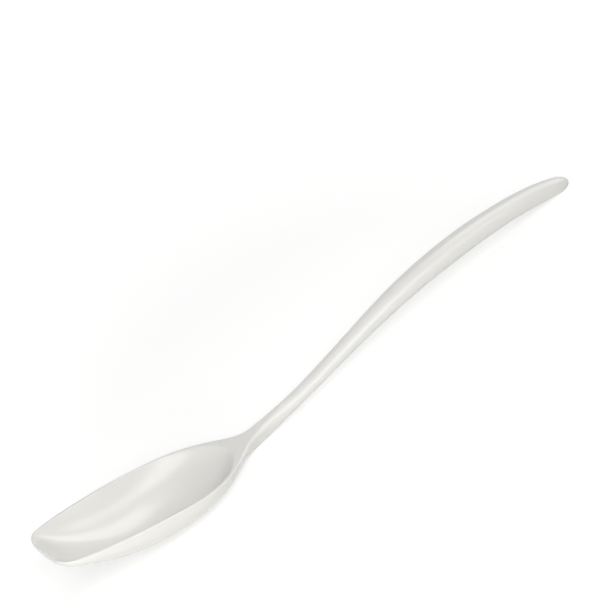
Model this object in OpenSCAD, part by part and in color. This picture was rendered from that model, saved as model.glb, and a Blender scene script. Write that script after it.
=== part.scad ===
// Cooking spoon, one white moulding named as two nodes: the bowl and the handle.
// Sizes are in millimetres. The form is drawn with its rim level and its straight tip at x = 0,
// the handle towards +X. It is then tipped back until belly and handle end both rest on z = 0.

/* [Bowl] */
// Length of the bowl, from the straight tip to where the handle begins
bowl_len = 112; // [85:1:150]
// Outside width of the bowl at its widest
bowl_w = 49.6; // [42:0.2:70]
// Outside depth of the bowl below its rim
bowl_depth = 18; // [14:0.2:24]
// Thickness of the moulded wall under the hollow
wall_t = 2.4; // [1.8:0.1:3.2]
// Length along the spoon of the straight tip's rounded corners
corner_len = 6.4; // [4:0.2:10]
// Width of those corners, a quarter of an oval on each side
corner_w = 8; // [4:0.2:10]

/* [Rim] */
// Rounding of the rim's outer edge
edge_r = 0.5; // [0.3:0.1:0.8]
// Height of the upright edge below that rounding
edge_h = 0.5; // [0.3:0.1:0.8]
// Flat width on top of the rim
land_w = 1; // [0.6:0.1:2]
// Rounding of the lip from the flat into the hollow
lip_r = 1.5; // [0.8:0.1:2]
// Flat width on top of the straight tip
tip_land = 0.6; // [0.5:0.1:3]

/* [Neck] */
// Flat length between the end of the hollow and the handle
neck_len = 10; // [6:1:20]
// Radius of the hollow's end at the neck, seen from above
hollow_end_r = 15; // [10:1:24]
// Rounding across the edge of the flat neck
neck_edge_w = 1.6; // [1:0.1:2.4]
// Height of that rounding
neck_edge_h = 1.3; // [0.8:0.1:2]

/* [Handle] */
// Length of the handle along X, before the spoon is tipped back
handle_len = 198; // [150:1:240]
// Width of the grip at its widest
grip_w = 13; // [10:0.2:20]
// Thickness of the grip at its thickest
grip_t = 11.2; // [8:0.2:16]
// Height of the handle's highest point above the rim
rise = 50; // [30:1:70]
// Length of the rounded end
end_r = 9; // [6:0.5:14]

/* [Hidden] */

white = [0.93, 0.92, 0.89];
spoon_len = bowl_len + handle_len;
hollow_len = bowl_len - neck_len;

// Half width in plan: pairs of a share of the length and a share of half the width
bowl_plan_shares = [[0, 0.685], [0.1, 0.819], [0.25, 0.932], [0.4, 0.993], [0.55, 1],
    [0.7, 0.943], [0.8, 0.79], [0.9, 0.5], [0.96, 0.307], [1, 0.205]];
handle_plan_shares = [[0.04, 0.55], [0.09, 0.563], [0.17, 0.627], [0.25, 0.662],
    [0.345, 0.748], [0.445, 0.876], [0.55, 0.967], [0.67, 1], [0.8, 0.95], [0.9, 0.86],
    [1, 0.655]];

// Height of the top line above the rim, as shares of the rise
bowl_top_shares = [[0, 0], [0.25, 0], [0.5, 0], [0.75, 0], [0.9, 0.022]];
handle_top_shares = [[0, 0.053], [0.06, 0.126], [0.15, 0.231], [0.24, 0.367], [0.345, 0.543],
    [0.445, 0.702], [0.55, 0.835], [0.67, 0.941], [0.8, 0.997], [0.9, 1], [1, 0.945]];

// Depth from the top line to the underside, as shares of the bowl's depth or the grip's
bowl_deep_shares = [[0, 0.176], [0.1, 0.438], [0.25, 0.79], [0.4, 0.985], [0.5, 1],
    [0.6, 0.937], [0.7, 0.79], [0.8, 0.652], [0.9, 0.56], [1, 0.502]];
handle_deep_shares = [[0.06, 0.775], [0.14, 0.633], [0.22, 0.633], [0.33, 0.733],
    [0.445, 0.873], [0.55, 0.963], [0.67, 1], [0.8, 0.893], [0.9, 0.79], [1, 0.5]];

// Depth of the hollow, as shares of its length from the tip's flat to the neck
hollow_deep_shares = [[0, 0], [0.034, 0.157], [0.094, 0.372], [0.263, 0.79], [0.432, 1],
    [0.542, 1], [0.651, 0.898], [0.761, 0.74], [0.861, 0.53], [0.93, 0.333], [0.975, 0.147],
    [1, 0]];

// Fullness of the sections: 0.5 is an ellipse, a lower share squares the floor, and for the
// underside a keel share over 1 draws the sides in under a thin flange
under_full_shares = [[0, 0.21], [0.15, 0.25], [0.4, 0.36], [0.75, 0.44], [0.93, 0.5], [1.1, 0.5],
    [1.5, 0.5]];
floor_full_shares = [[0, 0.21], [0.15, 0.36], [0.4, 0.5], [0.75, 0.46], [0.93, 0.54]];
keel_full_shares = [[0, 0.5], [0.4, 0.5], [0.78, 0.5], [0.88, 0.58], [0.94, 0.8], [1, 1.1],
    [1.1, 0.9], [1.2, 0.6], [1.35, 0.5], [1.9, 0.5], [2.8, 0.5]];

// Where the neck's edge rounding starts and where the handle's section is full
neck_start_share = 0.86;
neck_full_share = 0.12;
// Share of the grip's half width that the top rounding takes, and of its depth that stays upright
crown_share = 0.97;
upright_share = 0.02;
// Squareness of the handle's rounded end
end_power_share = 2.5;
// Narrowest mouth of the hollow, as a share of the flat that it is cut in
blunt_share = 0.3;

// Counts of steps around a section and along the spoon
edge_steps = 6;
lip_steps = 4;
under_steps = 24;
floor_steps = 18;
corner_steps = 7;
bowl_steps = 30;
handle_steps = 46;
end_steps = 8;
// Last angle of the rounded end, which leaves a face too small to see
end_angle = 86;

// Second derivatives of the natural cubic spline through the points p: a forward sweep
// that clears the band under the diagonal, then the values from the last point back
function sweep(p, i = 1, rows = [[0, 0]]) =
    i == len(p) - 1 ? rows
    : let (h0 = p[i].x - p[i - 1].x, h1 = p[i + 1].x - p[i].x,
          rise1 = (p[i + 1].y - p[i].y) / h1, rise0 = (p[i].y - p[i - 1].y) / h0,
          q = 2 * (h0 + h1) - h0 * rows[i - 1][0],
          r = (6 * (rise1 - rise0) - h0 * rows[i - 1][1]) / q)
      sweep(p, i + 1, concat(rows, [[h1 / q, r]]));
function solve(rows, i, m = [0]) =
    i == 0 ? concat([0], m)
    : solve(rows, i - 1, concat([rows[i][1] - rows[i][0] * m[0]], m));
function curve(p) = [p, solve(sweep(p), len(p) - 2)];

// Value of a curve at x
function at(c, x) =
    let (p = c[0], m = c[1],
        i = max(0, min(len(p) - 2, len([for (q = p) if (q.x <= x) q]) - 1)),
        h = p[i + 1].x - p[i].x, t = x - p[i].x, u = p[i + 1].x - x)
    (m[i] * u ^ 3 + m[i + 1] * t ^ 3) / (6 * h)
    + (p[i].y / h - m[i] * h / 6) * u + (p[i + 1].y / h - m[i + 1] * h / 6) * t;

// One curve over bowl and handle, from two tables of shares and the sizes that they follow
function joined(bowl_shares, handle_shares, bowl_size, handle_size) = curve(concat(
    [for (s = bowl_shares) [s[0] * bowl_len, s[1] * bowl_size]],
    [for (s = handle_shares) [bowl_len + s[0] * handle_len, s[1] * handle_size]]));

plan = joined(bowl_plan_shares, handle_plan_shares, bowl_w / 2, grip_w / 2);
top = joined(bowl_top_shares, handle_top_shares, rise, rise);
deep = joined(bowl_deep_shares, handle_deep_shares, bowl_depth, grip_t);
under_full = curve([for (s = under_full_shares) [s[0] * bowl_len, s[1]]]);
floor_full = curve([for (s = floor_full_shares) [s[0] * bowl_len, s[1]]]);
keel_full = curve([for (s = keel_full_shares) [s[0] * bowl_len, s[1]]]);
hollow = curve([for (s = hollow_deep_shares)
    [tip_land + s[0] * (hollow_len - tip_land), s[1] * (bowl_depth - wall_t)]]);

function clamp(v) = max(0, min(1, v));
function ease(a, b, x) = let (t = clamp((x - a) / (b - a))) t * t * (3 - 2 * t);
function blend(a, b, t) = a + (b - a) * t;
// How far a quarter circle of radius r has fallen away at the distance v from its start
function fallen(r, v) = r - sqrt(r ^ 2 - (r - max(0, min(r, v))) ^ 2);

// Sizes of the section at x
function half_w(x) = at(plan, x) - corner_w / corner_len * fallen(corner_len, x);
function top_z(x) = at(top, x) - fallen(edge_r, x);
function depth(x) = at(deep, x) - 2 * fallen(edge_r, x);
function neck(x) = ease(neck_start_share * bowl_len, bowl_len, x);
function stem(x) = ease(bowl_len, bowl_len + neck_full_share * handle_len, x);
function round_w(x) = blend(blend(edge_r, neck_edge_w, neck(x)), crown_share * half_w(x), stem(x));
function round_h(x) = blend(blend(edge_r, neck_edge_h, neck(x)), depth(x) / 2, stem(x));
function upright(x) = blend(edge_h, upright_share * depth(x), stem(x));

// Outside of the section at x, from the top's far side round the underside to the near side
function outside(x) =
    let (b = half_w(x), z = top_z(x), w = round_w(x), h = round_h(x),
        z1 = z - h - upright(x), z2 = z - depth(x),
        far = [for (i = [0:edge_steps]) let (a = 90 * i / edge_steps)
            [x, b - w + w * sin(a), z - h + h * cos(a)]],
        under = [for (i = [0:under_steps]) let (a = 180 * i / under_steps,
            c = sign(cos(a)) * abs(cos(a)) ^ (2 * at(under_full, x)))
            [x, b * c, z1 - (z1 - z2) * sin(a) ^ (2 * at(keel_full, x))]],
        near = [for (i = [edge_steps:-1:0]) [x, -far[i].y, far[i].z]])
    concat(far, under, near);

// Half width of the hollow's mouth at x, inside the rim, the tip's corners and the neck's curve
function mouth_w(x) =
    let (flat = half_w(x) - round_w(x),
        corner = at(plan, x) - edge_r - land_w
            - corner_w / corner_len * fallen(corner_len - tip_land, x - tip_land),
        end = sqrt(2 * hollow_end_r * max(0, hollow_len - x)))
    max(blunt_share * flat, min(flat - land_w, corner, end));

// Inside of the section at x, from the near lip through the hollow's floor to the far lip
function inside(x) =
    let (b = mouth_w(x), w = min(lip_r, b / 2), z = top_z(x),
        d = x > tip_land && x < hollow_len ? max(0, at(hollow, x)) : 0,
        h = min(lip_r, d / 2),
        lip = [for (i = [0:lip_steps]) let (a = 90 * i / lip_steps)
            [x, b - w * sin(a), z - h * (1 - cos(a))]],
        floor = [for (i = [1:floor_steps - 1]) let (a = 180 * i / floor_steps,
            c = sign(cos(a)) * abs(cos(a)) ^ (2 * at(floor_full, min(x, hollow_len))))
            [x, -(b - w) * c, z - h - (d - h) * sin(a)]])
    concat([for (p = lip) [x, -p.y, p.z]], floor, [for (i = [lip_steps:-1:0]) lip[i]]);

// The handle's section at x, drawn in towards its middle line over the rounded end
function handle_section(x) =
    let (q = clamp((x - spoon_len + end_r) / end_r),
        f = (1 - q ^ end_power_share) ^ (1 / end_power_share),
        mid = top_z(x) - depth(x) / 2)
    [for (p = outside(x)) [x, p.y * f, mid + (p.z - mid) * f]];

// Places of the sections along the spoon, closer at the tip, the hollow's end and the handle's
bowl_places = concat(
    [for (i = [0:2]) edge_r * (1 - cos(30 * i))],
    [for (i = [2:corner_steps]) corner_len * (1 - cos(90 * i / corner_steps))],
    [for (i = [1:bowl_steps]) blend(corner_len, hollow_len - hollow_end_r / 2, i / bowl_steps)],
    [for (i = [1:corner_steps]) hollow_len - hollow_end_r / 2 * cos(90 * i / corner_steps)],
    [for (i = [1:3]) hollow_len + neck_len * i / 3]);
handle_places = concat(
    [for (i = [0:handle_steps]) blend(bowl_len, spoon_len - end_r, i / handle_steps)],
    [for (i = [1:end_steps]) spoon_len - end_r + end_r * sin(end_angle * i / end_steps)]);

bowl_sections = [for (x = bowl_places) concat(outside(x), inside(x))];
handle_sections = [for (x = handle_places) handle_section(x)];

// The slope of the line that touches belly and handle end from below
function lowest(sections) = [for (s = sections) [s[0].x, min([for (p = s) p.z])]];
tilt = max([for (a = lowest(bowl_sections))
    min([for (b = lowest(handle_sections)) if (b.x > a.x) atan2(b.y - a.y, b.x - a.x)])]);
function tipped(p) = [p.x * cos(tilt) + p.z * sin(tilt), p.z * cos(tilt) - p.x * sin(tilt)];
corners = [for (sections = [bowl_sections, handle_sections], s = sections, p = s) tipped(p)];
mid_x = (min([for (c = corners) c.x]) + max([for (c = corners) c.x])) / 2;
floor_z = min([for (c = corners) c.y]);

// Lays the spoon down: tipped back on its belly and handle end, centred over the origin
module at_rest() {
    translate([-mid_x, 0, -floor_z]) rotate([0, tilt, 0]) children();
}

// Middle of a closed section
function middle(s) = [s[0].x, 0, (min([for (p = s) p.z]) + max([for (p = s) p.z])) / 2];

// Joins a row of closed sections into one solid. A flat face closes either end, as a fan of
// triangles round the middle of the end section.
module skin(sections) {
    n = len(sections[0]);
    last = len(sections) - 1;
    sides = [for (i = [0:last - 1], j = [0:n - 1])
        let (a = i * n + j, b = i * n + (j + 1) % n)
        each [[a, b, b + n], [a, b + n, a + n]]];
    first_end = [for (j = [0:n - 1]) [(j + 1) % n, j, (last + 1) * n]];
    last_end = [for (j = [0:n - 1]) [last * n + j, last * n + (j + 1) % n, (last + 1) * n + 1]];
    polyhedron(concat([for (s = sections) each s], [middle(sections[0]), middle(sections[last])]),
        concat(sides, first_end, last_end));
}

module bowl() {
    color(white) at_rest() skin(bowl_sections);
}

module handle() {
    color(white) at_rest() skin(handle_sections);
}

bowl();
handle();
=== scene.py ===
# %% [markdown]
# # A moulded cooking spoon
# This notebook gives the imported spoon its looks. You will draw its surface with a few smooth
# curves and one rule for its cross-section, give it the normals of the true form, mix a melamine
# material from nodes, and light it as a studio photograph of a white object is lit.
#
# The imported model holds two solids, `bowl` and `handle`. Both are coarse, because a physics
# engine wants few triangles. Smooth shading alone would still show their facets in the gloss, so
# each is replaced here by a fine surface in the same place.

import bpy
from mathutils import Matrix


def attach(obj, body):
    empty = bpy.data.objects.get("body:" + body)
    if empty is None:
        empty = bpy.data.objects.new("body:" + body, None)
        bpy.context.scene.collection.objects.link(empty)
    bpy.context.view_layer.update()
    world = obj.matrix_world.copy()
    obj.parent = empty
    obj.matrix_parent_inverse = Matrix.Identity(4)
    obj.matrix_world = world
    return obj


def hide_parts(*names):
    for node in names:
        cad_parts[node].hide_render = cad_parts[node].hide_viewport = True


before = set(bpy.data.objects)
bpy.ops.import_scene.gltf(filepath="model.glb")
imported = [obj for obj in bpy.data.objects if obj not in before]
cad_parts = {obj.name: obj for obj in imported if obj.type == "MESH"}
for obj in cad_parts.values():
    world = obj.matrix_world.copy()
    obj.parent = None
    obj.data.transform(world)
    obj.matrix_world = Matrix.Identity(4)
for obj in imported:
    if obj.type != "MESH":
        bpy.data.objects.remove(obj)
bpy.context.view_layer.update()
print("nodes:", sorted(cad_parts))

# %% Tools for the lesson
import math

import bpy
import numpy as np
from mathutils import Matrix

print("Blender", bpy.app.version_string, "with numpy", np.__version__)

# %% [markdown]
# ## Sizes
# Every length is in millimetres, as the part's source has it. The spoon is drawn with its rim
# level, its straight tip at x = 0 and its handle towards +x. That is not how it lies on a table,
# but widths and depths are easy to state this way, and one turn at the end lays it down.
#
# `corner` is the rounding of the tip's two corners, `edge` the thin outer edge of the rim, `land`
# the level strip between that edge and the hollow, and `lip` the soft inner edge. The *neck* is
# the closed, flat-topped end of the bowl, where the handle starts.

# %% Sizes of the spoon in millimetres
bowl_len, bowl_w, bowl_depth, wall_t = 112.0, 49.6, 18.0, 2.4
corner_len, corner_w = 6.4, 8.0
edge_r, edge_h, land_w, lip_r, tip_land = 0.5, 0.5, 1.0, 1.5, 0.6
neck_len, hollow_end_r, neck_edge_w, neck_edge_h = 10.0, 15.0, 1.6, 1.3
handle_len, grip_w, grip_t, rise, end_r = 198.0, 13.0, 11.2, 50.0, 9.0
spoon_len = bowl_len + handle_len
hollow_len = bowl_len - neck_len
print(f"length along x: {spoon_len:.0f} mm, of which the hollow takes {hollow_len:.0f} mm")

# %% [markdown]
# ## A smooth curve through a few points
# A mould for such a spoon is cut along long, even curves. Straight pieces between the points
# would show as bands in the gloss. A *natural cubic spline* passes through all its points, and
# its slope and its bend change smoothly.
#
# Between two points at distance h, with the bends m0 and m1 at its ends, the value is a straight
# line plus a cubic that the bends pull off it. The bends come from one small set of linear
# equations, which says that the slopes agree at every inner point.

# %% The spline
def spline(points):
    """Natural cubic spline. At each inner point
    h0 m0 + 2 (h0 + h1) m1 + h1 m2 = 6 (slope after - slope before), and m = 0 at both ends."""
    x, y = np.array(points, dtype=float).T
    h = np.diff(x)
    bend = np.zeros(len(x))
    matrix = np.diag(2 * (h[:-1] + h[1:])) + np.diag(h[1:-1], 1) + np.diag(h[1:-1], -1)
    bend[1:-1] = np.linalg.solve(matrix, 6 * np.diff(np.diff(y) / h))

    def value(q):
        """The straight line between the points on either side of q, plus the cubic off it."""
        i = np.clip(np.searchsorted(x, q, side="right") - 1, 0, len(x) - 2)
        t, u, w = q - x[i], x[i + 1] - q, h[i]
        cubic = (bend[i] * u ** 3 + bend[i + 1] * t ** 3) / (6 * w)
        return cubic + (y[i] / w - bend[i] * w / 6) * u + (y[i + 1] / w - bend[i + 1] * w / 6) * t

    return value


parabola_test = spline([[0, 0], [1, 1], [2, 4], [3, 9], [4, 16]])
print("spline of squares at 2.5:", round(float(parabola_test(2.5)), 2), "(6.25 is exact)")

# %% [markdown]
# ## The lines that shape the spoon
# Seen from above and from the side, a spoon is a few long lines. They could be traced in
# millimetres. Here each table holds pairs: a share of the length, and a share of the size that
# the curve follows, so the form is kept when a size changes.
#
# The plan gives half the width, the top line gives the height above the rim, and the depth goes
# from the top line down to the underside. Bowl and handle share one curve, so the neck flows.

# %% Shares along the bowl and the handle
bowl_plan = [[0, .685], [.1, .819], [.25, .932], [.4, .993], [.55, 1], [.7, .943], [.8, .79],
             [.9, .5], [.96, .307], [1, .205]]
handle_plan = [[.04, .55], [.09, .563], [.17, .627], [.25, .662], [.345, .748], [.445, .876],
               [.55, .967], [.67, 1], [.8, .95], [.9, .86], [1, .655]]
bowl_top = [[0, 0], [.25, 0], [.5, 0], [.75, 0], [.9, .022]]
handle_top = [[0, .053], [.06, .126], [.15, .231], [.24, .367], [.345, .543], [.445, .702],
              [.55, .835], [.67, .941], [.8, .997], [.9, 1], [1, .945]]
bowl_deep = [[0, .176], [.1, .438], [.25, .79], [.4, .985], [.5, 1], [.6, .937], [.7, .79],
             [.8, .652], [.9, .56], [1, .502]]
handle_deep = [[.06, .775], [.14, .633], [.22, .633], [.33, .733], [.445, .873], [.55, .963],
               [.67, 1], [.8, .893], [.9, .79], [1, .5]]


def joined(bowl, handle, bowl_size, handle_size):
    """One spline over bowl and handle: share of length times length, share of size times size."""
    return spline([[s * bowl_len, v * bowl_size] for s, v in bowl]
                  + [[bowl_len + s * handle_len, v * handle_size] for s, v in handle])


plan = joined(bowl_plan, handle_plan, bowl_w / 2, grip_w / 2)
top = joined(bowl_top, handle_top, rise, rise)
deep = joined(bowl_deep, handle_deep, bowl_depth, grip_t)
widest_share, highest_share = 0.55, 0.9
print(f"widest bowl {2 * plan(widest_share * bowl_len):.1f} mm,",
      f"highest handle {top(bowl_len + highest_share * handle_len):.1f} mm")

# %% [markdown]
# ## The hollow and the fullness of the sections
# The inside of the bowl has a depth line of its own, because the wall of such a moulding is not
# equally thick everywhere. The other tables say how *full* a section is. A share under a half
# makes it squarer than an ellipse, and one over a half draws it in, as towards a keel.
#
# The floor of the hollow takes two of them. `floor_full` moves its points sideways, and the
# larger `floor_soft` is, the more gently the wall leaves the edge. Only shading tells of the
# hollow's form, so both were matched to the way the photograph shades it.

# %% Shares of the hollow and of the fullness
hollow_deep = [[0, 0], [.034, .123], [.094, .375], [.263, .824], [.432, 1.043], [.542, 1.034],
               [.651, .917], [.761, .722], [.861, .49], [.93, .292], [.975, .113], [1, 0]]
under_full = [[0, .21], [.15, .25], [.4, .36], [.75, .44], [.93, .5], [1.1, .5], [1.5, .5]]
keel_full = [[0, .5], [.4, .5], [.78, .5], [.88, .58], [.94, .8], [1, 1.1], [1.1, .9],
             [1.2, .6], [1.35, .5], [1.9, .5], [2.8, .5]]
floor_full = [[0, .19], [.15, .235], [.4, .45], [.75, .39], [.93, .62]]
floor_soft = [[0, .4], [.25, .94], [.5, .64], [.75, .87], [.93, 1.09]]


def along_bowl(shares):
    """Spline of plain shares, where x is the share of the length times the bowl's length."""
    return spline([[s * bowl_len, v] for s, v in shares])


hollow = spline([[tip_land + s * (hollow_len - tip_land), v * (bowl_depth - wall_t)]
                 for s, v in hollow_deep])
under_power, keel_power = along_bowl(under_full), along_bowl(keel_full)
floor_power, soft_power = along_bowl(floor_full), along_bowl(floor_soft)
print(f"hollow at the middle of the bowl: {hollow(bowl_len / 2):.1f} mm deep")

# %% [markdown]
# ## Blends and roundings
# On the real spoon the thin rim turns into the flat-topped neck, and the neck into the oval
# handle, with no step. Separate bodies joined by fillets would show where one ends. Here the same
# sizes describe every section, and an *ease*, which runs from 0 to 1 with a level start and end,
# moves them from one form to the next.

# %% Ease, blend and rounding
def ease(a, b, x):
    """3 t^2 - 2 t^3, where t goes from 0 at a to 1 at b."""
    t = np.clip((x - a) / (b - a), 0, 1)
    return t * t * (3 - 2 * t)


def blend(a, b, t):
    """a + (b - a) t."""
    return a + (b - a) * t


def fallen(radius, v):
    """Drop of a quarter circle: radius - sqrt(radius^2 - (radius - v)^2), and 0 beyond it."""
    return radius - np.sqrt(radius ** 2 - (radius - np.clip(v, 0, radius)) ** 2)


print("ease at a quarter:", round(float(ease(0, 1, 0.25)), 3),
      "and a rounding of 1 mm at 0.5:", round(float(fallen(1.0, 0.5)), 3))

# %% [markdown]
# ## Six sizes for each section
# A section has half a width, the height of its top, a depth, a rounded edge with a width and a
# height, and a short upright strip below that. The rim is a thin edge, the neck a flange with
# wider roundings, and on the handle the two roundings are so wide that they nearly meet, which
# makes it an oval.
#
# The neck starts at 0.86 of the bowl's length, and the oval is reached at 0.12 of the handle's.

# %% Sizes of one cross-section
neck_start_share, stem_share = 0.86, 0.12
oval_share, upright_share, least_mouth_share = 0.97, 0.02, 0.3


def section_sizes(x):
    """Half width, top height, depth, rounding width and height, and upright strip at x.
    The last three are eased from the rim's to the neck's, and from those to the handle's."""
    half = plan(x) - corner_w / corner_len * fallen(corner_len, x)
    z, d = top(x) - fallen(edge_r, x), deep(x) - 2 * fallen(edge_r, x)
    neck = ease(neck_start_share * bowl_len, bowl_len, x)
    stem = ease(bowl_len, bowl_len + stem_share * handle_len, x)
    round_w = blend(blend(edge_r, neck_edge_w, neck), oval_share * half, stem)
    round_h = blend(blend(edge_r, neck_edge_h, neck), d / 2, stem)
    return half, z, d, round_w, round_h, blend(edge_h, upright_share * d, stem)


def mouth_width(x, half, round_w):
    """Half width of the hollow's mouth: the least of the flat top less the land, the rounded
    corner of the tip and the parabola sqrt(2 r (end - x)), but never under its least share."""
    flat = half - round_w
    inner_corner = corner_w / corner_len * fallen(corner_len - tip_land, x - tip_land)
    corner = plan(x) - edge_r - land_w - inner_corner
    end = np.sqrt(2 * hollow_end_r * np.clip(hollow_len - x, 0, None))
    return np.maximum(least_mouth_share * flat, np.minimum(flat - land_w, np.minimum(corner, end)))


print("half width, top, depth at x = 60:", [round(float(v), 2) for v in section_sizes(60.0)[:3]])

# %% [markdown]
# ## One ring of points
# A ring goes once round the spoon at one x: over the far edge, under the belly, up over the near
# edge and back through the hollow. The hollow could be carved with a boolean, but that can leave
# ragged faces at its edge, and a ring that runs through the hollow has clean ones.
#
# The hollow's edge is worn soft: a depth d becomes sqrt(d^2 + r^2) - r. Close to the edge this
# starts level, and far from it the wall keeps its slope, so the land rolls into the hollow. At
# the thin tip r is a fifth of its full size.

# %% The four parts of a ring
edge_steps, under_steps, floor_steps = 10, 150, 150
tip_soft_share, soft_growth_share = 0.2, 0.2


def quarter_turn(count):
    """So many angles, evenly spaced from 0 to a quarter turn."""
    return np.linspace(0, math.pi / 2, count)


def power(value, share):
    """sign(value) |value|^(2 share). A share of a half changes nothing."""
    return np.sign(value) * np.abs(value) ** (2 * share)


def far_edge(half, z, round_w, round_h):
    """y = half - width (1 - sin) and z = top - height (1 - cos): a quarter ellipse."""
    turn = quarter_turn(edge_steps + 1)
    return half - round_w * (1 - np.sin(turn)), z - round_h * (1 - np.cos(turn))


def underside(x, half, z, d, side_z):
    """y = half power(cos), and z falls from side_z to z - d with sin^(2 keel share)."""
    turn = np.linspace(0, math.pi, under_steps + 1)
    under_z = side_z - (side_z - z + d) * np.sin(turn).clip(0) ** (2 * keel_power(x))
    return half * power(np.cos(turn), under_power(x)), under_z


def inside_floor(x, z, mouth):
    """y = -mouth power(cos), and depth = full depth sin^(2 soft share), with the edge worn soft."""
    carved = np.where((x > tip_land) & (x < hollow_len), hollow(x).clip(0), 0)
    soft = blend(tip_soft_share * lip_r, lip_r, ease(0, soft_growth_share * bowl_len, x))
    full_depth = np.sqrt((carved + soft) ** 2 - soft ** 2)
    turn = np.linspace(0, math.pi, floor_steps + 1)
    inside = np.minimum(x, hollow_len)
    depth = full_depth * np.sin(turn).clip(0) ** (2 * soft_power(inside))
    floor_z = z - (np.sqrt(depth ** 2 + soft ** 2) - soft)
    return -mouth * power(np.cos(turn), floor_power(inside)), floor_z


print("steps round a ring:", 2 * edge_steps + under_steps + floor_steps)

# %% The whole ring
def rings(x):
    """Rings at the places x, as an array (places, points, 3): the far edge, the underside, the
    near edge, which is the far one mirrored and backwards, and the floor, one after the other."""
    x = np.asarray(x, dtype=float)[:, None]
    half, z, d, round_w, round_h, upright = section_sizes(x)
    far_y, far_z = far_edge(half, z, round_w, round_h)
    under_y, under_z = underside(x, half, z, d, z - round_h - upright)
    floor_y, floor_z = inside_floor(x, z, mouth_width(x, half, round_w))
    y = np.hstack([far_y, under_y, -far_y[:, ::-1], floor_y])
    zs = np.hstack([far_z, under_z, far_z[:, ::-1], floor_z])
    return np.stack([np.broadcast_to(x, y.shape), y, zs], axis=2)


print("points in a ring:", rings([50.0]).shape[1])

# %% [markdown]
# ## Where the rings stand
# Evenly spaced rings would miss the small roundings, or waste points on the long handle. So the
# rings stand close together where the form turns quickly: at the tip's thin edge and its corners,
# and at the end of the hollow. A cosine spaces them as equal turns of a circle.

# %% Places of the rings
tip_count, corner_count, middle_count, hollow_end_count, neck_count = 8, 34, 150, 26, 16
handle_count, end_count = 200, 19
edge_gap = 0.05

tip_places = edge_r * (1 - np.cos(quarter_turn(tip_count)))
corner_places = corner_len * (1 - np.cos(quarter_turn(corner_count)))
hollow_round = hollow_end_r / 2
bowl_places = np.concatenate([
    tip_places, corner_places[corner_places > edge_r + edge_gap],
    np.linspace(corner_len, hollow_len - hollow_round, middle_count)[1:],
    hollow_len - hollow_round * np.cos(quarter_turn(hollow_end_count))[1:],
    np.linspace(hollow_len, bowl_len, neck_count)[1:]])
end_start = spoon_len - end_r
handle_places = np.linspace(bowl_len, end_start, handle_count)[1:]
print("rings up to the handle's end:", len(bowl_places) + len(handle_places))

# %% [markdown]
# ## The handle's top and its end
# The handle has no hollow, but its rings keep as many points as the bowl's. The part of each ring
# that runs through the hollow lies flat across the handle's narrow top.
#
# Over its last few millimetres the handle draws in towards its middle line by the factor
# (1 - q^p)^(1/p), where q goes from 0 to 1. With p = 2 that is an ellipse. The real end is
# blunter, so p is larger. It ends in a point, a *pole*, that closes the mesh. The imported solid
# stops at 86 degrees of its quarter turn, so the pole stands where that solid ends.

# %% All rings of the spoon, with the rim level
end_power, end_stop = 2.5, math.radians(86)
end_turn = quarter_turn(end_count)[1:-1]
end_reach = end_r * math.sin(end_stop)

bowl_rings = rings(bowl_places)
handle_rings = rings(np.concatenate([handle_places, end_start + end_reach * np.sin(end_turn)]))
across = slice(2 * (edge_steps + 1) + under_steps + 1, None)
across_share = bowl_rings[-1, across, 1] / bowl_rings[-1, 0, 1]
handle_rings[:, across, 1] = handle_rings[:, :1, 1] * across_share
handle_rings[:, across, 2] = handle_rings[:, :1, 2]

q = np.concatenate([np.zeros(len(handle_places)), np.sin(end_turn)])[:, None]
draw_in = (1 - q ** end_power) ** (1 / end_power)
handle_mid = (handle_rings[:, :, 2].max(1) + handle_rings[:, :, 2].min(1))[:, None] / 2
handle_rings[:, :, 1] *= draw_in
handle_rings[:, :, 2] = handle_mid + (handle_rings[:, :, 2] - handle_mid) * draw_in
pole = np.array([end_start + end_reach, 0, handle_mid[-1, 0]])
whole = np.concatenate([bowl_rings, handle_rings])
print("rings:", len(bowl_rings), "on the bowl and", len(handle_rings), "on the handle")

# %% [markdown]
# ## Normals of the true form
# A *normal* points straight out of the surface, and shading follows it. Blender can average the
# normals of the faces, but at the joint each piece would know only its own side. So they are
# worked out here. Each point has two directions, one along the spoon and one round the ring, and
# their cross product is the normal. Both pieces take theirs from the one whole surface, so no
# seam shows where they meet. The first ring borders the tip's flat face, which looks along -x.

# %% Normals from the two directions
def unit(v):
    """v / |v|, and 0 where v has no length."""
    length = np.linalg.norm(v, axis=-1, keepdims=True)
    return v / np.where(length > 1e-9, length, 1)


step = unit(np.diff(whole, axis=0))
along = np.concatenate([step[:1], step[:-1] + step[1:], step[-1:]])
step = unit(np.roll(whole, -1, axis=1) - whole)
around = step + np.roll(step, 1, axis=1)
whole_normals = unit(np.cross(along, around))
whole_normals[0] = [-1, 0, 0]
print("normals made:", whole_normals.shape[0] * whole_normals.shape[1])

# %% [markdown]
# ## Laying the spoon down
# A spoon on a table rests on its bowl and its handle's end. Turning it by eye would leave a gap
# or sink it. The tilt is the slope of the one line that touches both from below. After the turn
# about y, the spoon is moved so that its middle stands over the origin and its lowest point is on
# the floor, and millimetres become metres.

# %% Tilt and place
metre = 1000


def lowest(ring_set):
    """x and the least z of each ring."""
    return ring_set[:, 0, 0], ring_set[:, :, 2].min(axis=1)


def tipped(v):
    """Turned about y by the tilt: (x cos + z sin, y, z cos - x sin)."""
    c, s = math.cos(tilt), math.sin(tilt)
    return np.stack([v[..., 0] * c + v[..., 2] * s, v[..., 1], v[..., 2] * c - v[..., 0] * s], -1)


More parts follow.
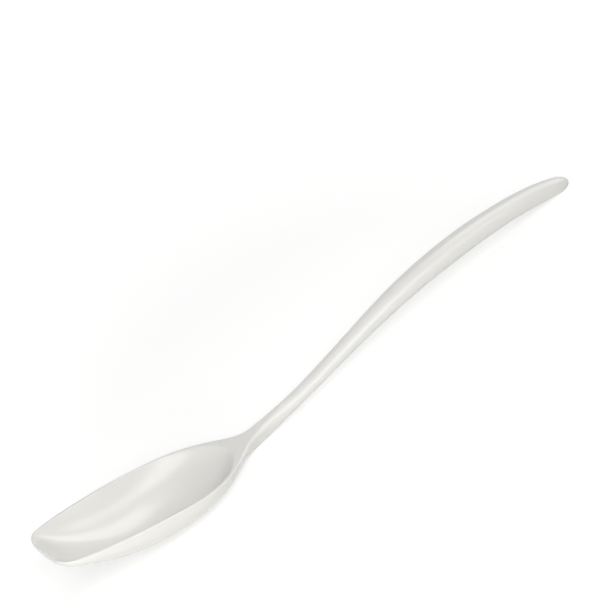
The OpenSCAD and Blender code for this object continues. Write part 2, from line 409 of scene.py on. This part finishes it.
bowl_x, bowl_low = lowest(bowl_rings)
handle_x, handle_low = lowest(handle_rings)
slopes = np.arctan2(handle_low[None] - bowl_low[:, None], handle_x[None] - bowl_x[:, None])
tilt = slopes.min(axis=1).max()
laid, laid_pole, laid_normals = tipped(whole), tipped(pole), tipped(whole_normals)
shift = np.array([(laid[..., 0].min() + max(laid[..., 0].max(), laid_pole[0])) / 2, 0,
                  laid[..., 2].min()])
laid, laid_pole = (laid - shift) / metre, (laid_pole - shift) / metre
print(f"tilt {math.degrees(tilt):.3f} degrees, length {-2 * metre * laid[..., 0].min():.2f} mm")

# %% [markdown]
# ## From rings to meshes
# Neighbouring rings are joined by quads. The two pieces could share one mesh, but each is a piece
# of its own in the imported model, so each is closed at both ends, by a fan of triangles round one
# middle point. The volume under the faces, the sum of a . (b x c) / 6 over all triangles, is
# positive when they all look outwards.

# %% Faces and volume
def ring_faces(count, m):
    """Quads between neighbours of count rings with m points each, and fans round two points
    that follow them: (j, j + 1, start point) and (last + j + 1, last + j, end point)."""
    i, j = np.meshgrid(np.arange(count - 1) * m, np.arange(m), indexing="ij")
    k = (j + 1) % m
    quads = np.stack([i + j, i + m + j, i + m + k, i + k], axis=2).reshape(-1, 4)
    j = np.arange(m)
    k, last = (j + 1) % m, (count - 1) * m
    fans = np.vstack([np.stack([j, k, np.full(m, count * m)], 1),
                      np.stack([last + k, last + j, np.full(m, count * m + 1)], 1)])
    return quads, fans


def volume_mm3(verts, tris):
    """Sum of a . (b x c) / 6 over the triangles, turned from metres to millimetres."""
    a, b, c = verts[tris[:, 0]], verts[tris[:, 1]], verts[tris[:, 2]]
    return np.einsum("ij,ij->i", a, np.cross(b, c)).sum() / 6 * metre ** 3


print("quads and triangles of 2 rings with 4 points:", [len(part) for part in ring_faces(2, 4)])

# %% Make the two pieces
def make_piece(name, ring_set, normals, end_point=None):
    """A closed mesh of the rings. Its end points are the means of the first and last ring,
    unless end_point is given, and their normals look along the line between them."""
    start_mid = ring_set[0].mean(axis=0)
    end_mid = ring_set[-1].mean(axis=0) if end_point is None else end_point
    verts = np.vstack([ring_set.reshape(-1, 3), [start_mid, end_mid]])
    quads, fans = ring_faces(*ring_set.shape[:2])
    mesh = bpy.data.meshes.new(name)
    mesh.from_pydata(verts.tolist(), [], quads.tolist() + fans.tolist())
    mesh.shade_smooth()
    axis = unit(end_mid - start_mid)
    all_normals = np.vstack([normals.reshape(-1, 3), [-axis, axis]])
    mesh.normals_split_custom_set_from_vertices(all_normals.tolist())
    piece = bpy.data.objects.new(name, mesh)
    bpy.context.scene.collection.objects.link(piece)
    tris = np.vstack([quads[:, :3], quads[:, [0, 2, 3]], fans])
    print(f"{name}: {len(tris)} triangles, {volume_mm3(verts, tris):.0f} mm3, {len(verts)} points")
    return piece


cut = len(bowl_rings)
bowl = make_piece("bowl_surface", laid[:cut], laid_normals[:cut])
handle = make_piece("handle_surface", laid[cut - 1:], laid_normals[cut - 1:], laid_pole)
for piece, node in ((bowl, "bowl"), (handle, "handle")):
    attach(piece, "root")
    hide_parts(node)

# %% [markdown]
# ## Colours and nodes
# Colours are written as screen colours, and the renderer works in *linear* light. One function
# does the change. One more adds a node, sets its values and links it.

# %% Helpers for materials
def linear(hex_colour):
    """c / 12.92 for c <= 0.04045, else ((c + 0.055) / 1.055)^2.4, for each channel."""
    c = np.array([int(hex_colour[k:k + 2], 16) for k in (1, 3, 5)]) / 255
    return (*np.where(c <= 0.04045, c / 12.92, ((c + 0.055) / 1.055) ** 2.4), 1.0)


def add(tree, kind, values=None, links=None, **settings):
    """Add a node. `settings` are its own fields, `values` its sockets, `links` what feeds them."""
    node = tree.nodes.new(kind)
    for name, value in settings.items():
        setattr(node, name, value)
    for socket, value in (values or {}).items():
        node.inputs[socket].default_value = value
    for socket, output in (links or {}).items():
        tree.links.new(output, node.inputs[socket])
    return node


def per_mm(size_mm):
    """Noise scale for features of this size: 1000 / size, because texture space is in metres."""
    return metre / size_mm


print("linear middle grey:", [round(float(v), 3) for v in linear("#808080")[:3]])

# %% [markdown]
# ## Melamine
# Melamine is a hard resin filled with paper fibre, pressed in a polished mould. To the eye that
# gives a clear gloss over a white that looks dense. A plain white shader would look like plaster.
# Close up the real one has three things that flat white lacks: a very faint mottle of filler
# grains, a slight waviness left by the mould, and a gloss that is not the same everywhere,
# because hands and pans have rubbed it.
#
# Its index of refraction is about 1.6, a little more than most plastics have, so its reflections
# are a little stronger. Pressed resin starts at a roughness between 0.1 and 0.2. The highlights
# on this spoon have soft edges, so it was matched a little above that.

# %% Sizes and colours of the melamine
resin_white, grain_white, cloud_white = linear("#f3f2ee"), linear("#f0eeea"), linear("#f1f0eb")
# Real filler grains are about 0.1 mm or less, too fine to show, so they are drawn at 0.4 mm.
grain_mm, cloud_mm, rub_mm, wave_mm = 0.4, 60, 9, 7
wave_height, grain_height = 0.000003, 0.0000012
least_rough, most_rough, melamine_ior = 0.20, 0.23, 1.6
print("noise scales:", [round(per_mm(size), 1) for size in (grain_mm, cloud_mm, rub_mm, wave_mm)])

# %% The melamine material
def make_melamine():
    """A white mixed by grain and cloud noise, a roughness that runs from least to most with the
    rub noise, and bumps whose height is the wave noise and then the grain noise."""
    material = bpy.data.materials.new("melamine_white")
    material.use_nodes = True
    tree = material.node_tree
    tree.nodes.clear()
    place = add(tree, "ShaderNodeTexCoord").outputs["Object"]

    # The mottle: two whites a shade apart, and a third that comes and goes in large soft clouds.
    grains = add(tree, "ShaderNodeTexNoise", {"Scale": per_mm(grain_mm), "Detail": 2.0},
                 {"Vector": place})
    clouds = add(tree, "ShaderNodeTexNoise", {"Scale": per_mm(cloud_mm), "Detail": 2.0},
                 {"Vector": place})
    grain_mix = add(tree, "ShaderNodeMapRange", {"From Min": 0.35, "From Max": 0.65},
                    {"Value": grains.outputs["Fac"]})
    mottled = add(tree, "ShaderNodeMix", {"A": resin_white, "B": grain_white},
                  {"Factor": grain_mix.outputs["Result"]}, data_type="RGBA")
    clouded = add(tree, "ShaderNodeMix", {"B": cloud_white},
                  {"Factor": clouds.outputs["Fac"]}, data_type="RGBA")
    tree.links.new(mottled.outputs[2], clouded.inputs[6])

    # The rubbed gloss: highlights spread a little more in some places than in others.
    rubbed = add(tree, "ShaderNodeTexNoise", {"Scale": per_mm(rub_mm), "Detail": 4.0},
                 {"Vector": place})
    rough = add(tree, "ShaderNodeMapRange", {"From Min": 0.3, "From Max": 0.7,
                                             "To Min": least_rough, "To Max": most_rough},
                {"Value": rubbed.outputs["Fac"]})

    # The mould's waves bend the edges of highlights, and the grains take their last sharpness.
    waves = add(tree, "ShaderNodeTexNoise", {"Scale": per_mm(wave_mm), "Detail": 1.0},
                {"Vector": place})
    wavy = add(tree, "ShaderNodeBump", {"Strength": 1.0, "Distance": wave_height},
               {"Height": waves.outputs["Fac"]})
    peel = add(tree, "ShaderNodeBump", {"Strength": 1.0, "Distance": grain_height},
               {"Height": grains.outputs["Fac"], "Normal": wavy.outputs["Normal"]})
    shader = add(tree, "ShaderNodeBsdfPrincipled", {"IOR": melamine_ior, "Metallic": 0.0},
                 {"Base Color": clouded.outputs[2], "Roughness": rough.outputs["Result"],
                  "Normal": peel.outputs["Normal"]})
    add(tree, "ShaderNodeOutputMaterial", links={"Surface": shader.outputs["BSDF"]})
    return material


melamine = make_melamine()
for piece in (bowl, handle):
    piece.data.materials.append(melamine)
print("material nodes:", len(melamine.node_tree.nodes))

# %% [markdown]
# ## Floor
# The photograph has a pure white background. A white floor under more light would get there, but
# that light would bleach the spoon too. So the floor is a pale sheet that glows a little, and the
# glow is seen only by rays that come from the camera, from a gloss or through glass. It puts no
# light on the spoon's matt white.
#
# Close to the spoon the glow is weak, so the shadow stays. It grows with the distance from the
# middle, because the lamps that stand near the bowl leave the far floor darker.

# %% Which rays see the background
def seen(tree):
    """1 for camera, glossy and transmission rays, else 0: the largest of the three."""
    path = add(tree, "ShaderNodeLightPath")
    camera_or_gloss = add(tree, "ShaderNodeMath", links={0: path.outputs["Is Camera Ray"],
                                                         1: path.outputs["Is Glossy Ray"]},
                          operation="MAXIMUM")
    any_of_three = add(tree, "ShaderNodeMath", links={0: camera_or_gloss.outputs[0],
                                                      1: path.outputs["Is Transmission Ray"]},
                       operation="MAXIMUM")
    return any_of_three.outputs[0]


white = (1, 1, 1, 1)
glow_start, glow_end, weak_glow, full_glow = 0.12, 0.6, 0.46, 0.9
floor_side, floor_drop = 6.0, 0.0002
print(f"the glow grows from {weak_glow} at {glow_start} m to {full_glow} at {glow_end} m")

# %% The floor and its glow
def make_floor():
    """A diffuse sheet plus a glow, which is seen times the level. The level is
    weak + (full - weak) (distance - start) / (end - start), held between weak and full."""
    corners = np.array([[-1, -1, 0], [1, -1, 0], [1, 1, 0], [-1, 1, 0]]) * floor_side
    corners[:, 2] = -floor_drop
    mesh = bpy.data.meshes.new("floor")
    mesh.from_pydata(corners.tolist(), [], [(0, 1, 2, 3)])
    material = bpy.data.materials.new("pale_floor")
    material.use_nodes = True
    tree = material.node_tree
    tree.nodes.clear()
    sheet = add(tree, "ShaderNodeBsdfDiffuse", {"Color": linear("#e6e6e5")})
    place = add(tree, "ShaderNodeTexCoord").outputs["Object"]
    away = add(tree, "ShaderNodeVectorMath", links={0: place}, operation="LENGTH")
    glow_level = add(tree, "ShaderNodeMapRange", {"From Min": glow_start, "From Max": glow_end,
                                                  "To Min": weak_glow, "To Max": full_glow},
                     {"Value": away.outputs["Value"]})
    glow_seen = add(tree, "ShaderNodeMath", links={0: glow_level.outputs["Result"],
                                                   1: seen(tree)}, operation="MULTIPLY")
    glow = add(tree, "ShaderNodeEmission", {"Color": white}, {"Strength": glow_seen.outputs[0]})
    both = add(tree, "ShaderNodeAddShader", links={0: sheet.outputs[0], 1: glow.outputs[0]})
    add(tree, "ShaderNodeOutputMaterial", links={"Surface": both.outputs[0]})
    mesh.materials.append(material)
    return bpy.data.objects.new("floor", mesh)


floor = make_floor()
bpy.context.scene.collection.objects.link(floor)
print(f"floor: {2 * floor_side:.0f} m wide, {floor_drop * metre:.1f} mm below the spoon")

# %% [markdown]
# ## World
# The world stands for the walls of the studio. An image of a studio would give livelier
# reflections, but plain white is what the photograph's background shows. The world is white, at a
# strength of 1, to the same rays that see the floor's glow. As a lamp it adds next to nothing,
# so that the soft boxes alone shape the spoon.

# %% World
ambient = 0.03
world = bpy.data.worlds.new("studio")
bpy.context.scene.world = world
world.use_nodes = True
tree = world.node_tree
tree.nodes.clear()
level = add(tree, "ShaderNodeMapRange", {"To Min": ambient, "To Max": 1.0}, {"Value": seen(tree)})
background = add(tree, "ShaderNodeBackground", {"Color": white},
                 {"Strength": level.outputs["Result"]})
add(tree, "ShaderNodeOutputWorld", links={"Surface": background.outputs[0]})
print("world lamp level:", ambient)

# %% [markdown]
# ## Lamps
# On a white, glossy object the lamps draw the form: the broad shading comes from where they
# stand, and the soft bright bands are their mirror images. One big lamp overhead would be
# simpler, but it would leave the hollow flat.
#
# - `front_high` is the main soft box. It stands near the bowl, so the handle's end is darker.
# - `front_low` lights the outer wall of the bowl from low down.
# - `handle_strip` stands beyond the handle. It lights the slope behind the tip and draws a bright
#   streak there.
# - `tip_low` adds a little light from the tip's side, on the neck end of the hollow.
# - `handle_high` adds to the highlight along the handle, and draws a second, weaker streak in the
#   hollow.
#
# Each is described by its bearing and height as seen from its target, and by its *level*: the
# brightness of a white card that faces it. A box of power P at distance r gives the level
# P / (pi^2 r^2), whatever its size, so P follows.

# %% Soft lamps
near, far = 0.8, 2.2
bowl_middle, spoon_middle = (-0.09, 0, 0.015), (0, 0, 0.015)


def add_lamp(name, bearing, height, wide, tall, lamp_level, distance=far, target=spoon_middle):
    """Power is pi^2 level distance^2, and the place is target + distance (cos b cos h, sin b
    cos h, sin h). Bearing 0 is towards +x, and 90 degrees towards +y."""
    data = bpy.data.lights.new(name, "AREA")
    data.shape = "RECTANGLE"
    data.size, data.size_y = wide, tall
    data.energy = math.pi ** 2 * lamp_level * distance ** 2
    b, h = math.radians(bearing), math.radians(height)
    back = np.array([math.cos(b) * math.cos(h), math.sin(b) * math.cos(h), math.sin(h)])
    right = unit(np.cross([0, 0, 1], back))
    up = np.cross(back, right)
    lamp = bpy.data.objects.new(name, data)
    matrix = np.eye(4)
    matrix[:3, 0], matrix[:3, 1], matrix[:3, 2] = right, up, back
    matrix[:3, 3] = np.array(target) + back * distance
    lamp.matrix_world = Matrix(matrix)
    lamp.visible_camera = False
    bpy.context.scene.collection.objects.link(lamp)


add_lamp("front_high", bearing=253, height=46, wide=1.05, tall=0.65, lamp_level=0.73,
         distance=near, target=bowl_middle)
add_lamp("front_low", bearing=220, height=10, wide=0.6, tall=0.26, lamp_level=0.35,
         distance=near, target=bowl_middle)
add_lamp("handle_strip", bearing=20, height=40, wide=1.5, tall=2.2, lamp_level=0.43)
add_lamp("tip_low", bearing=150, height=20, wide=0.8, tall=0.8, lamp_level=0.07)
add_lamp("handle_high", bearing=308, height=40, wide=1.1, tall=0.7, lamp_level=0.09)

# %% [markdown]
# ## Camera
# The photograph shows the spoon from its near side, with the picture turned so that the handle
# runs up to the right. The camera could be moved by hand until the outlines agree. Its numbers
# here were fitted to the outline instead. Azimuth, elevation and roll give its three directions,
# and the focal length in pixels of a 600 pixel frame gives the lens.

# %% Camera
azimuth, elevation, roll = np.radians([18.503, 34.511, -29.331])
look_at, camera_distance = np.array([19.52, 31.11, 26.04]) / metre, 1.68
focal_px, frame_px, sensor_mm = 3568.2, 600, 36
back = np.array([-math.sin(azimuth) * math.cos(elevation),
                 -math.cos(azimuth) * math.cos(elevation), math.sin(elevation)])
level_right = np.array([math.cos(azimuth), -math.sin(azimuth), 0])
level_up = np.cross(back, level_right)
matrix = np.eye(4)
matrix[:3, 0] = level_right * math.cos(roll) + level_up * math.sin(roll)
matrix[:3, 1] = level_up * math.cos(roll) - level_right * math.sin(roll)
matrix[:3, 2], matrix[:3, 3] = back, look_at + back * camera_distance

camera_data = bpy.data.cameras.new("camera")
camera_data.sensor_fit = "HORIZONTAL"
camera_data.sensor_width = sensor_mm
camera_data.lens = focal_px / frame_px * sensor_mm
camera_data.clip_end = 50
camera = bpy.data.objects.new("camera", camera_data)
camera.matrix_world = Matrix(matrix)
bpy.context.scene.collection.objects.link(camera)
bpy.context.scene.camera = camera
bpy.context.scene.view_settings.view_transform = "Standard"
print(f"lens {camera_data.lens:.1f} mm")
